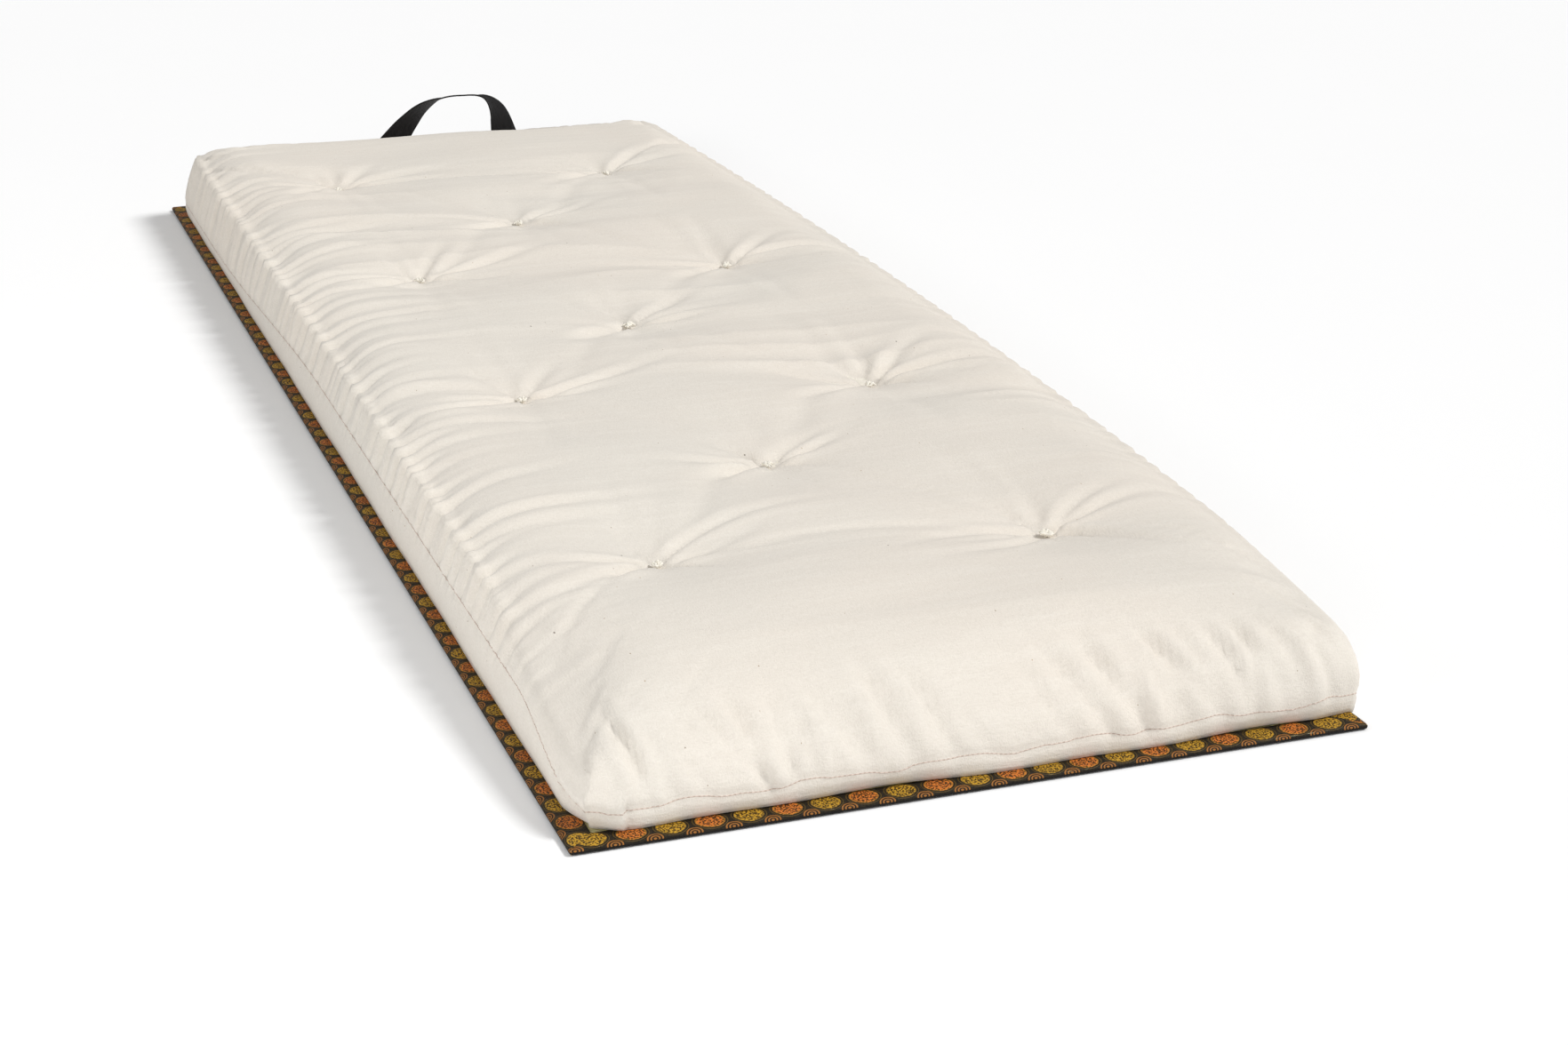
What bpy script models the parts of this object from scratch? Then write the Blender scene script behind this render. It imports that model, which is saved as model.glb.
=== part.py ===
"""A tufted futon mattress with a webbing carry handle, lying on its bordered rush mat.

Metres, +X across the width, +Y along the length towards the handle, +Z up. The origin is
on the floor, at the middle of the whole outline.
"""

import math

import bmesh
import bpy
from mathutils import Vector

# Rush mat
MAT_LENGTH = 2.050
MAT_WIDTH = 0.682
MAT_THICKNESS = 0.006
MAT_CENTRE_X = -0.0202
TAPE_WIDTH = 0.023
TAPE_THICKNESS = 0.0008
MITRE_GAP = 0.0003
BACKING_THICKNESS = 0.0008
CORE_THICKNESS = 0.0022
FACING_THICKNESS = 0.0012

# Mattress outline
LENGTH = 2.010
END_WIDTH = 0.680
END_CENTRE_X = -0.011
CENTRE_Y = -0.005
SIDE_SWELL = 0.016
SIDE_BOW = 0.016
CORNER_RADIUS = 0.045

# Mattress section
EDGE_TOP = 0.078
CROWN_TOP = 0.098
CROWN_REACH = 0.100
EDGE_BOTTOM = 0.010
BOTTOM_REACH = 0.030
WIDEST_Z = 0.030
TOP_INSET = 0.016
BOTTOM_INSET = 0.010
SIDE_REACH = 0.060
SEAM_Z_ENDS = 0.022
SEAM_Z_SIDES = 0.052
CASING_THICKNESS = 0.0010
SEAM_THICKNESS = 0.0006
SEAM_DEPTH = 0.0032
SEAM_GAP = 0.0009

# Filling, from the bottom up: name and share of the height
LAYERS = (
    ("lower_batting_1", 0.15),
    ("lower_batting_2", 0.15),
    ("foam_core", 0.40),
    ("upper_batting_1", 0.15),
    ("upper_batting_2", 0.15),
)
LAYER_GAP = 0.0006
LAYER_INSET = 0.0055
FILLING_CLEARANCE = 0.0008

# Tufts
TUFT_PITCH = 0.467
TUFT_SPAN_U = 0.5
TUFT_SHIFT = 0.013
TUFT_SKEW = 0.053
TOP_DIMPLE = 0.012
BOTTOM_DIMPLE = 0.008
DIMPLE_REACH = 0.055
CORD_RADIUS = 0.0009
HOLE_RADIUS = 0.0015
KNOT_RADIUS = 0.0070
KNOT_HALF_HEIGHT = 0.0020
KNOT_GAP = 0.0005

# Handle
STRAP_WIDTH = 0.038
STRAP_THICKNESS = 0.002
HINGE_Y = 0.992
HINGE_Z = 0.0765
TAB_X = {"handle_tab_left": -0.056, "handle_tab_right": 0.1045}
TAB_BOTTOM = 0.040
TAB_TOP = 0.0745
LOOP_ARCH = (
    (-0.056, 0.0770),
    (-0.029, 0.1060),
    (0.004, 0.1310),
    (0.040, 0.1380),
    (0.073, 0.1340),
    (0.095, 0.1120),
    (0.1045, 0.0770),
)
TWIST_SHARE = 0.36

GAP = 0.0003

HALF_LENGTH = LENGTH / 2
TUFT_STEP_V = TUFT_PITCH / 2 / HALF_LENGTH
SIDE_LINES = (0.96, 0.88)
END_LINES = (0.988, 0.964, 0.90)


def clear_scene():
    for item in list(bpy.data.objects):
        bpy.data.objects.remove(item, do_unlink=True)


def make_collection(name):
    collection = bpy.data.collections.new(name)
    bpy.context.scene.collection.children.link(collection)
    return collection


def make_material(name, colour, roughness, metallic=0.0):
    material = bpy.data.materials.new(name)
    material.use_nodes = True
    shader = material.node_tree.nodes["Principled BSDF"]
    shader.inputs["Base Color"].default_value = (*colour, 1.0)
    shader.inputs["Roughness"].default_value = roughness
    shader.inputs["Metallic"].default_value = metallic
    material.diffuse_color = (*colour, 1.0)
    return material


def add_object(name, bm, collection, colour, roughness, smooth=False):
    mesh = bpy.data.meshes.new(name)
    bm.to_mesh(mesh)
    bm.free()
    item = bpy.data.objects.new(name, mesh)
    collection.objects.link(item)
    mesh.materials.append(make_material(name, colour, roughness))
    if smooth:
        mesh.shade_smooth()
    return item


def solidify(item, thickness, offset):
    shell = item.modifiers.new("Thickness", "SOLIDIFY")
    shell.thickness = thickness
    shell.offset = offset
    shell.use_even_offset = True


def clamp(value):
    return min(max(value, 0.0), 1.0)


# The mattress form. u runs across the width and v along the length, both from -1 to 1.


def half_width(v):
    return END_WIDTH / 2 + SIDE_SWELL * (1 - v * v)


def from_side(u, v):
    return (1 - abs(u)) * half_width(v)


def from_end(v):
    return (1 - abs(v)) * HALF_LENGTH


def plan_point(u, v, inset=0.0):
    """The place in plan of a point of the mattress, pulled in by inset at its rim."""
    x = END_CENTRE_X + SIDE_BOW * (1 - v * v) - TUFT_SHIFT * (1 - u * u) + u * half_width(v)
    y = CENTRE_Y + v * HALF_LENGTH - TUFT_SKEW * u * (1 - v**4)
    near_side = clamp(1 - from_side(u, v) / CORNER_RADIUS)
    near_end = clamp(1 - from_end(v) / CORNER_RADIUS)
    corner = CORNER_RADIUS * (1 - math.sqrt(0.5)) * near_side * near_end
    x_pull = corner + inset * clamp(1 - from_side(u, v) / SIDE_REACH)
    y_pull = corner + inset * clamp(1 - from_end(v) / SIDE_REACH)
    return x - math.copysign(x_pull, u), y - math.copysign(y_pull, v)


def rim_inset(z):
    """How far the side stands back from the widest outline at a height."""
    if z > WIDEST_Z:
        return TOP_INSET * ((z - WIDEST_Z) / (EDGE_TOP - WIDEST_Z)) ** 2
    return BOTTOM_INSET * ((WIDEST_Z - z) / (WIDEST_Z - EDGE_BOTTOM)) ** 2


def tuft_places():
    """The tufts' (u, v), in rows of two and one, from the near end."""
    places = []
    for row in range(-3, 4):
        v = row * TUFT_STEP_V
        places += [(-TUFT_SPAN_U, v), (TUFT_SPAN_U, v)] if row % 2 else [(0.0, v)]
    return places


def dimple(u, v):
    x, y = plan_point(u, v)
    depth = 0.0
    for place in tuft_places():
        tuft_x, tuft_y = plan_point(*place)
        depth = max(depth, math.exp(-math.hypot(x - tuft_x, y - tuft_y) / DIMPLE_REACH))
    return depth


def rim_rise(u, v, reach):
    near = min(from_side(u, v), from_end(v))
    return 1 - (1 - clamp(near / reach)) ** 2


def top_z(u, v):
    crown = EDGE_TOP + (CROWN_TOP - EDGE_TOP) * rim_rise(u, v, CROWN_REACH)
    return crown - TOP_DIMPLE * dimple(u, v) * rim_rise(u, v, CROWN_REACH)


def bottom_z(u, v):
    flat = MAT_THICKNESS + GAP
    lift = (EDGE_BOTTOM - flat) * (1 - rim_rise(u, v, BOTTOM_REACH))
    depth = dimple(u, v)
    return flat + lift + (BOTTOM_DIMPLE if depth > 0.999 else 0.0)


def seam_z(v):
    return SEAM_Z_ENDS + (SEAM_Z_SIDES - SEAM_Z_ENDS) * (1 - v**4)


def grid_lines(outer, inner):
    half = sorted(set([1.0, *outer, *inner]), reverse=True)
    return [-value for value in half] + [0.0] + half[::-1]


COLUMNS = grid_lines(SIDE_LINES, (TUFT_SPAN_U,))
ROWS = grid_lines(END_LINES, [step * TUFT_STEP_V / 2 for step in range(1, 8)])


def pad_grid():
    """A flat grid whose vertices carry their u and v in x and y."""
    bm = bmesh.new()
    bmesh.ops.create_grid(bm, x_segments=len(COLUMNS) - 1, y_segments=len(ROWS) - 1, size=1.0)
    for vertex in bm.verts:
        column = round((vertex.co.x + 1) / 2 * (len(COLUMNS) - 1))
        row = round((vertex.co.y + 1) / 2 * (len(ROWS) - 1))
        vertex.co = Vector((COLUMNS[column], ROWS[row], 0.0))
    bmesh.ops.triangulate(bm, faces=bm.faces, quad_method="FIXED")
    return bm


def set_height(vertex, z, shrink=0.0):
    u, v = vertex.co.x, vertex.co.y
    vertex.co = Vector((*plan_point(u, v, rim_inset(z) + shrink), z))


def extrude_rim(bm, edges):
    made = bmesh.ops.extrude_edge_only(bm, edges=edges)["geom"]
    new_edges = [item for item in made if isinstance(item, bmesh.types.BMEdge)]
    rim = set(vertex for vertex in made if isinstance(vertex, bmesh.types.BMVert))
    return [edge for edge in new_edges if edge.verts[0] in rim and edge.verts[1] in rim], rim


def casing_half(name, collection, surface_z, outward_z, side_levels):
    """One cover panel: its broad face, and its sides down or up to the seam."""
    bm = pad_grid()
    levels = {vertex: None for vertex in bm.verts}
    edges = [edge for edge in bm.edges if edge.is_boundary]
    for level in side_levels:
        edges, rim = extrude_rim(bm, edges)
        for vertex in rim:
            levels[vertex] = level
    for vertex, level in levels.items():
        u, v = vertex.co.x, vertex.co.y
        edge_z = surface_z(u, v)
        z = edge_z if level is None else edge_z + level * (seam_z(v) - edge_z)
        z += 0.0 if level != 1.0 else math.copysign(SEAM_THICKNESS / 2 + SEAM_GAP, edge_z - z)
        set_height(vertex, z)
    bmesh.ops.recalc_face_normals(bm, faces=bm.faces)
    middle = min(bm.faces, key=lambda face: face.calc_center_median().xy.length)
    if middle.normal.z * outward_z < 0:
        bmesh.ops.reverse_faces(bm, faces=bm.faces)
    item = add_object(name, bm, collection, (0.83, 0.77, 0.70), 0.9, smooth=True)
    solidify(item, CASING_THICKNESS, -1.0)
    return item


def rim_places():
    """The (u, v) of every grid line's end, once round the rim."""
    near = [(u, -1.0) for u in COLUMNS[:-1]]
    right = [(1.0, v) for v in ROWS[:-1]]
    return near + right + [(-u, -v) for u, v in near] + [(-u, -v) for u, v in right]


def perimeter_seam(collection):
    """The turned-in seam allowance that joins the two cover panels all the way round."""
    places = rim_places()
    bm = bmesh.new()
    outer = bmesh.ops.create_circle(bm, segments=len(places), radius=1.0)["verts"]
    inner = extrude_rim(bm, list(bm.edges))[1]
    for ring, depth in ((outer, 0.0), (inner, SEAM_DEPTH)):
        ring = sorted(ring, key=lambda vertex: math.atan2(vertex.co.y, vertex.co.x))
        for vertex, (u, v) in zip(ring, places):
            z = seam_z(v)
            vertex.co = Vector((*plan_point(u, v, rim_inset(z) + depth), z))
    item = add_object("perimeter_seam", bm, collection, (0.78, 0.72, 0.64), 0.9)
    solidify(item, SEAM_THICKNESS, 0.0)
    return item


def filling_layer(name, collection, low, high, colour):
    """One layer of the filling, between two shares of the height inside the casing."""
    bm = pad_grid()
    bottom = list(bm.verts)
    made = bmesh.ops.extrude_face_region(bm, geom=list(bm.faces))["geom"]
    top = [item for item in made if isinstance(item, bmesh.types.BMVert)]
    for vertices, share, side in ((bottom, low, 1), (top, high, -1)):
        for vertex in vertices:
            u, v = vertex.co.x, vertex.co.y
            floor = bottom_z(u, v) + CASING_THICKNESS + FILLING_CLEARANCE
            ceiling = top_z(u, v) - CASING_THICKNESS - FILLING_CLEARANCE
            z = floor + share * (ceiling - floor) + side * LAYER_GAP / 2
            set_height(vertex, z, LAYER_INSET)
    bmesh.ops.recalc_face_normals(bm, faces=bm.faces)
    return add_object(name, bm, collection, colour, 0.95)


def cylinder(bm, radius, centre, low, high, segments):
    place = Vector((centre[0], centre[1], (low + high) / 2))
    made = bmesh.ops.create_cone(
        bm, cap_ends=True, segments=segments, radius1=radius, radius2=radius, depth=high - low
    )
    bmesh.ops.translate(bm, verts=made["verts"], vec=place)


def tuft_hole_cutter(collection):
    """The needle holes of every tuft, as one hidden cutter."""
    bm = bmesh.new()
    for place in tuft_places():
        cylinder(bm, HOLE_RADIUS, plan_point(*place), 0.0, CROWN_TOP + EDGE_TOP, 6)
    cutter = add_object("tuft_holes", bm, collection, (0.5, 0.5, 0.5), 0.5)
    cutter.hide_render = True
    cutter.display_type = "WIRE"
    return cutter


def cut(item, cutter):
    hole = item.modifiers.new("Tuft holes", "BOOLEAN")
    hole.operation = "DIFFERENCE"
    hole.solver = "EXACT"
    hole.object = cutter


def tuft_knot(name, collection, centre, z):
    """A flattened knot of thread ends."""
    bm = bmesh.new()
    bmesh.ops.create_icosphere(bm, subdivisions=2, radius=KNOT_RADIUS)
    bmesh.ops.scale(bm, verts=bm.verts, vec=(1.0, 1.0, KNOT_HALF_HEIGHT / KNOT_RADIUS))
    knot = add_object(name, bm, collection, (0.86, 0.81, 0.72), 0.8, smooth=True)
    knot.location = (*centre, z)
    return knot


def tuft(number, place, collection):
    """The cord of one tuft and the knot at each of its ends."""
    centre = plan_point(*place)
    top = top_z(*place) + KNOT_GAP + KNOT_HALF_HEIGHT
    bottom = bottom_z(*place) - KNOT_GAP - KNOT_HALF_HEIGHT
    upper = tuft_knot(f"tuft_top_{number:02d}", collection, centre, top)
    lower = tuft_knot(f"tuft_bottom_{number:02d}", collection, centre, bottom)
    bm = bmesh.new()
    end = KNOT_HALF_HEIGHT + GAP
    cylinder(bm, CORD_RADIUS, centre, bottom + end, top - end, 6)
    cord = add_object(f"tuft_cord_{number:02d}", bm, collection, (0.86, 0.81, 0.72), 0.8, smooth=True)
    return [upper, lower, cord]


def handle_tab(name, x, collection):
    """The end of the webbing, sewn flat on the mattress's end."""
    bm = bmesh.new()
    bmesh.ops.create_grid(bm, x_segments=1, y_segments=4, size=0.5)
    for vertex in bm.verts:
        z = TAB_BOTTOM + (vertex.co.y + 0.5) * (TAB_TOP - TAB_BOTTOM)
        y = CENTRE_Y + HALF_LENGTH - rim_inset(z) + GAP + STRAP_THICKNESS
        vertex.co = Vector((x - vertex.co.x * STRAP_WIDTH, y, z))
    tab = add_object(name, bm, collection, (0.012, 0.012, 0.013), 0.7)
    solidify(tab, STRAP_THICKNESS, -1.0)
    return tab


def arch_point(share):
    """A point of the strap's middle line, and its direction, by a smooth curve."""
    points = [Vector((x, 0.0, z)) for x, z in LOOP_ARCH]
    points = [2 * points[0] - points[1], *points, 2 * points[-1] - points[-2]]
    place = share * (len(points) - 3)
    index = min(int(place), len(points) - 4)
    t = place - index
    a, b, c, d = points[index : index + 4]
    second = 2 * a - 5 * b + 4 * c - d
    third = 3 * b - a - 3 * c + d
    point = 0.5 * (2 * b + (c - a) * t + second * t**2 + third * t**3)
    tangent = (c - a) + 2 * second * t + 3 * third * t**2
    return point, tangent.normalized()


def strap_side(share):
    """The direction across the strap: flat at the feet and edge-on over the top."""
    tangent = arch_point(share)[1]
    from_foot = clamp(min(share, 1 - share) / TWIST_SHARE)
    turn = math.pi / 2 * from_foot
    across = Vector((tangent.z, 0.0, -tangent.x)).lerp(Vector((1.0, 0.0, 0.0)), 1 - from_foot)
    return (across.normalized() * math.cos(turn) + Vector((0.0, 1.0, 0.0)) * math.sin(turn)).normalized()


def handle_loop(collection):
    """The free loop of webbing, hinged along its sewn feet."""
    steps = 28
    bm = bmesh.new()
    bmesh.ops.create_grid(bm, x_segments=1, y_segments=steps, size=0.5)
    for vertex in bm.verts:
        share = vertex.co.y + 0.5
        point = arch_point(share)[0] - Vector((0.0, 0.0, HINGE_Z))
        vertex.co = point + strap_side(share) * vertex.co.x * STRAP_WIDTH
    loop = add_object("handle_loop", bm, collection, (0.012, 0.012, 0.013), 0.7, smooth=True)
    solidify(loop, STRAP_THICKNESS, 0.0)
    loop.location = (0.0, HINGE_Y, HINGE_Z)
    return loop


def slab(name, collection, width, length, low, high, colour):
    bm = bmesh.new()
    bmesh.ops.create_cube(bm, size=1.0)
    bmesh.ops.scale(bm, verts=bm.verts, vec=(width, length, high - low))
    item = add_object(name, bm, collection, colour, 0.85)
    item.location = (MAT_CENTRE_X, 0.0, (low + high) / 2)
    return item


def folded_profile(name, out, half_length):
    """The tape's U-shaped section, drawn out along its length, as a mesh."""
    inner = out - TAPE_WIDTH
    wall = TAPE_THICKNESS
    outline = (
        (inner, 0.0),
        (out, 0.0),
        (out, MAT_THICKNESS),
        (inner, MAT_THICKNESS),
        (inner, MAT_THICKNESS - wall),
        (out - wall, MAT_THICKNESS - wall),
        (out - wall, wall),
        (inner, wall),
    )
    curve = bpy.data.curves.new(name, "CURVE")
    curve.dimensions = "2D"
    curve.fill_mode = "BOTH"
    curve.extrude = half_length
    spline = curve.splines.new("POLY")
    spline.points.add(len(outline) - 1)
    for point, (x, z) in zip(spline.points, outline):
        point.co = (x, z, 0.0, 1.0)
    spline.use_cyclic_u = True
    drawn = bpy.data.objects.new(name, curve)
    bpy.context.scene.collection.objects.link(drawn)
    bpy.context.view_layer.update()
    graph = bpy.context.evaluated_depsgraph_get()
    mesh = bpy.data.meshes.new_from_object(drawn.evaluated_get(graph))
    bpy.data.objects.remove(drawn, do_unlink=True)
    return mesh


def border_tape(name, collection, angle, out, length):
    """A woven tape folded round one edge of the mat, with mitred ends."""
    bm = bmesh.new()
    bm.from_mesh(folded_profile(name, out, length / 2))
    bmesh.ops.remove_doubles(bm, verts=bm.verts, dist=0.00001)
    for vertex in bm.verts:
        x, z, y = vertex.co
        half = length / 2 - (out - x) - MITRE_GAP
        vertex.co = Vector((x, -math.copysign(half, y), z))
    tape = add_object(name, bm, collection, (0.10, 0.06, 0.02), 0.6)
    tape.location = (MAT_CENTRE_X, 0.0, 0.0)
    tape.rotation_euler = (0.0, 0.0, angle)
    return tape


def build_mat(collection):
    inner = 2 * (TAPE_WIDTH + GAP)
    tucked = 2 * (TAPE_THICKNESS + GAP)
    core_low = BACKING_THICKNESS + GAP
    facing_low = core_low + CORE_THICKNESS + GAP
    facing_high = facing_low + FACING_THICKNESS
    backing_size = (MAT_WIDTH - inner, MAT_LENGTH - inner)
    full_size = (MAT_WIDTH - tucked, MAT_LENGTH - tucked)
    slab("mat_backing", collection, *backing_size, 0.0, BACKING_THICKNESS, (0.45, 0.38, 0.27))
    slab("mat_core", collection, *full_size, core_low, facing_low - GAP, (0.55, 0.47, 0.33))
    slab("rush_facing", collection, *full_size, facing_low, facing_high, (0.80, 0.75, 0.45))
    quarter_turn = math.pi / 2
    border_tape("border_right", collection, 0.0, MAT_WIDTH / 2, MAT_LENGTH)
    border_tape("border_far", collection, quarter_turn, MAT_LENGTH / 2, MAT_WIDTH)
    border_tape("border_left", collection, 2 * quarter_turn, MAT_WIDTH / 2, MAT_LENGTH)
    border_tape("border_near", collection, 3 * quarter_turn, MAT_LENGTH / 2, MAT_WIDTH)


def build_mattress(collection, cutters):
    """The mattress, on an empty that stands on the line it lifts along."""
    axis = bpy.data.objects.new("mattress_axis", None)
    axis.location = (END_CENTRE_X, CENTRE_Y, MAT_THICKNESS + GAP)
    collection.objects.link(axis)
    cutter = tuft_hole_cutter(cutters)
    layered = [
        casing_half("casing_top", collection, top_z, 1, (0.35, 0.7, 1.0)),
        casing_half("casing_bottom", collection, bottom_z, -1, (0.5, 1.0)),
    ]
    low = 0.0
    for name, share in LAYERS:
        colour = (0.85, 0.82, 0.60) if name == "foam_core" else (0.82, 0.79, 0.74)
        layered.append(filling_layer(name, collection, low, low + share, colour))
        low += share
    for item in layered:
        cut(item, cutter)
    pieces = layered + [perimeter_seam(collection)]
    for number, place in enumerate(tuft_places(), start=1):
        pieces += tuft(number, place, collection)
    for name, x in TAB_X.items():
        pieces.append(handle_tab(name, x, collection))
    pieces.append(handle_loop(collection))
    bpy.context.view_layer.update()
    for item in pieces:
        item.parent = axis
        item.matrix_parent_inverse = axis.matrix_world.inverted()


def main():
    clear_scene()
    parts = make_collection("futon_mattress")
    cutters = make_collection("cutters")
    build_mat(parts)
    build_mattress(parts, cutters)


main()
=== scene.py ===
"""The looks of the futon mattress on its bordered rush mat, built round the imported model."""

import math

import bmesh
import bpy
import numpy as np
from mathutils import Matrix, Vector


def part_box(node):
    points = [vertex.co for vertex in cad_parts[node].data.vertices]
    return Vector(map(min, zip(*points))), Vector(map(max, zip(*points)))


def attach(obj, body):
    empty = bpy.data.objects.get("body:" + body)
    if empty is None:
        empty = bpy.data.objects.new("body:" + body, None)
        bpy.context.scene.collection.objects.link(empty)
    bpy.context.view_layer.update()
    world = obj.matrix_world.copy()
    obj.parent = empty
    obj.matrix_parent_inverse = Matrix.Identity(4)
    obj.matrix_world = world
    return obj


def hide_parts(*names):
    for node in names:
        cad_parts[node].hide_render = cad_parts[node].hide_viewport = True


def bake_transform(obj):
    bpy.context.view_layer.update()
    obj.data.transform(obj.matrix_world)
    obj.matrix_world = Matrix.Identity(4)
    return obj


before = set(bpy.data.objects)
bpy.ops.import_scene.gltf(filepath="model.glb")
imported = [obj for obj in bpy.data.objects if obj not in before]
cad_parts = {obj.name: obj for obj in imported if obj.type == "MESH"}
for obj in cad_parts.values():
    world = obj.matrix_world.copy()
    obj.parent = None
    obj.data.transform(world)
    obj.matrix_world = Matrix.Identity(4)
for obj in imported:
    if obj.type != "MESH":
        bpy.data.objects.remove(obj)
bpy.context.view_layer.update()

# Camera: its place from the mat's near left corner on the floor, and its angles in degrees
LENS = 65.9
SENSOR_WIDTH = 36.0
CAMERA_FROM_CORNER = Vector((-0.4917, -1.8700, 0.9959))
CAMERA_DOWN = 20.67
CAMERA_TURN = 19.50

# Mattress outline in plan, as the CAD has it
LENGTH = 2.010
END_WIDTH = 0.680
END_CENTRE_X = -0.011
CENTRE_Y = -0.005
SIDE_SWELL = 0.016
SIDE_BOW = 0.016
CORNER_RADIUS = 0.045
CORNER_PULL = 0.17
HALF_LENGTH = LENGTH / 2
TUFT_SHIFT = 0.013
TUFT_SKEW = 0.053

# Mattress section
EDGE_TOP = 0.0860
NEAR_EDGE_TOP = 0.054
NEAR_ROLL = 0.34
CROWN_TOP = 0.098
CROWN_REACH = 0.085
FAR_DROP = 0.006
EDGE_BOTTOM = 0.0072
REST_Z = 0.0063
WIDEST_Z = 0.030
TOP_INSET = 0.0155
BOTTOM_INSET = 0.003
SIDE_REACH = 0.060
SEAM_Z_ENDS = 0.0235
SEAM_Z_SIDES = 0.051
SEAM_WAVE = 0.0022
TUFT_DEPTH = 0.0135
BOTTOM_TURN = 0.008
BOTTOM_TUFT_LIFT = 0.008

# Cover mesh: cells across, along, down the side above the seam and below it, how much they crowd towards the
# long sides, and cells to one underneath
CELLS_U = 120
CELLS_V = 640
SIDE_ROWS_ABOVE = 7
SIDE_ROWS_BELOW = 4
CELL_CROWDING = 0.18
BOTTOM_STEP_U = 4
BOTTOM_STEP_V = 5
AT_RIM = 0.999

# Cover cloth: cells of the simulated grid, shares of spare fabric, the cap on movement and the share used
CLOTH_CELLS_U = 72
CLOTH_CELLS_V = 208
CLOTH_ROWS = (6, 3)
SPARE_MIDDLE = 0.015
SPARE_RIM = 0.05
SPARE_ACROSS = 0.008
CLOTH_FRAMES = 24
CLOTH_CAP = 0.014
CLOTH_SHARE = 0.6
CLOTH_SINK = 0.0015
TUFT_HOLD = 0.008
CLOTH_SETTINGS = {
    "quality": 5,
    "mass": 0.25,
    "tension_stiffness": 12,
    "compression_stiffness": 12,
    "shear_stiffness": 4,
    "bending_stiffness": 0.15,
    "air_damping": 2.0,
    "vertex_group_mass": "Held",
    "use_pressure": True,
    "uniform_pressure_force": 4.0,
}

# Folds added to the cover. Kinds of pleat: their pitch, width, depth and reach over the top, from least to most,
# and their share on the right side
FOLD_SEED = 11
PLEATS = (
    ((0.022, 0.046), (0.0042, 0.0070), (0.0065, 0.0125), (0.03, 0.16), 0.14),
    ((0.008, 0.015), (0.0022, 0.0030), (0.0015, 0.0045), (0.010, 0.03), 0.0),
)
PLEAT_SLANT = 0.14
PLEAT_ON_TOP = 0.40
PLEAT_FLOOR = -0.0105
PLEAT_BAND = 0.30
PLEAT_SPREAD = 0.040

# Creases at a tuft: direction in degrees, length and depth
TUFT_FAN = (
    (180, 0.17, 0.0058),
    (214, 0.14, 0.0100),
    (197, 0.09, 0.0034),
    (112, 0.09, 0.0085),
    (82, 0.08, 0.0075),
    (47, 0.15, 0.0080),
    (28, 0.10, 0.0040),
    (10, 0.18, 0.0075),
    (-24, 0.10, 0.0085),
    (-80, 0.04, 0.0020),
)

# The other folds
FOLD_DEPTH = 0.0034
BROAD_DEPTH = 0.0016
END_WRINKLES = 44
END_WRINKLE_DEPTH = 0.0075
END_WRINKLE_RANGE = (-0.0062, 0.0045)
END_WRINKLE_BAND = 0.16
END_WRINKLE_SPREAD = 0.06
FAR_WRINKLES = 0.25
PUCKER_DEPTH = 0.0006
PUCKER_PITCH = 0.011
SEAM_GROOVE = 0.0014
TUCK_DEPTH = 0.0085
CORNER_DRAWN = 0.007
CORNER_FULL = 0.005
NEAR_RIGHT_X = 0.32
FRONT_TUCK_X = -0.313
FRONT_TUCK = 0.0055
LOW_WAVE = 0.0035

# Filling, from the bottom up: name and share of the height, and half the gap between layers as such a share
LAYERS = (
    ("lower_batting_1", 0.15),
    ("lower_batting_2", 0.15),
    ("foam_core", 0.40),
    ("upper_batting_1", 0.15),
    ("upper_batting_2", 0.15),
)
LAYER_GAP = 0.01
FILLING_CELLS = (36, 104)
FILLING_INSET = 0.013
FILLING_TOP_GAP = 0.007
FILLING_BOTTOM_GAP = 0.004

# Seam and tuft knots
SEAM_RADIUS = 0.0005
SEAM_SIDES = 6
KNOT_SEED = 5
KNOT_REACH = 0.0050
KNOT_HEIGHT = 0.0022
THREAD_RADIUS = 0.0013
THREAD_SIDES = 7
TAIL_SHARE = 0.7
TAIL_SIDES = 6

# Mat and its border tape
RIB_PITCH = 0.0155
TAPE_CORNER = 0.0025
MITRE_GAP = 0.0002
DISC_PITCH = 0.0315

# Handle: its middle line (x, z) from foot to foot, close to the CAD's, and the share over which each end twists
STRAP_POINTS = 241
STRAP_WIDTH = 0.038
STRAP_THICKNESS = 0.0021
HINGE_Y = 0.992
FOOT_Z = (0.040, 0.050, 0.060, 0.069)
ARCH = (
    (-0.0560, 0.0770),
    (-0.0340, 0.1035),
    (-0.0110, 0.1245),
    (0.0170, 0.1365),
    (0.0450, 0.1385),
    (0.0740, 0.1345),
    (0.0950, 0.1130),
    (0.1045, 0.0770),
)
TWIST_LEFT = 0.42
TWIST_RIGHT = 0.29
EDGE_ON = np.array([0.21, 0.95, -0.21])

# Studio: two broad lights, as direction, strength and spread in degrees, and a wide lamp beside the mattress
WORLD_STRENGTH = 0.43
KEY = ((0.64, -0.26, 0.72), 2.20, 16)
FILL = ((-0.52, -0.80, 0.30), 0.50, 14)
SIDE_LAMP_PLACE = (-1.7, -1.3, 0.7)
SIDE_LAMP_AIM = (1.35, 0.5, -0.65)
SIDE_LAMP_POWER = 8.0
SIDE_LAMP_SIZE = 1.0
FLOOR_SIZE = 40.0

MAT_BODY = "mat"
PAD_BODY = "mattress"


def clamp(value):
    return np.clip(value, 0.0, 1.0)


def smooth(value):
    t = clamp(value)
    return t * t * (3 - 2 * t)


def unit(vectors):
    return vectors / np.maximum(np.linalg.norm(vectors, axis=-1, keepdims=True), 1e-12)


def bell(offset, reach):
    """1 at no offset, and falling off smoothly over reach."""
    return np.exp(-((offset / reach) ** 2))


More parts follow.
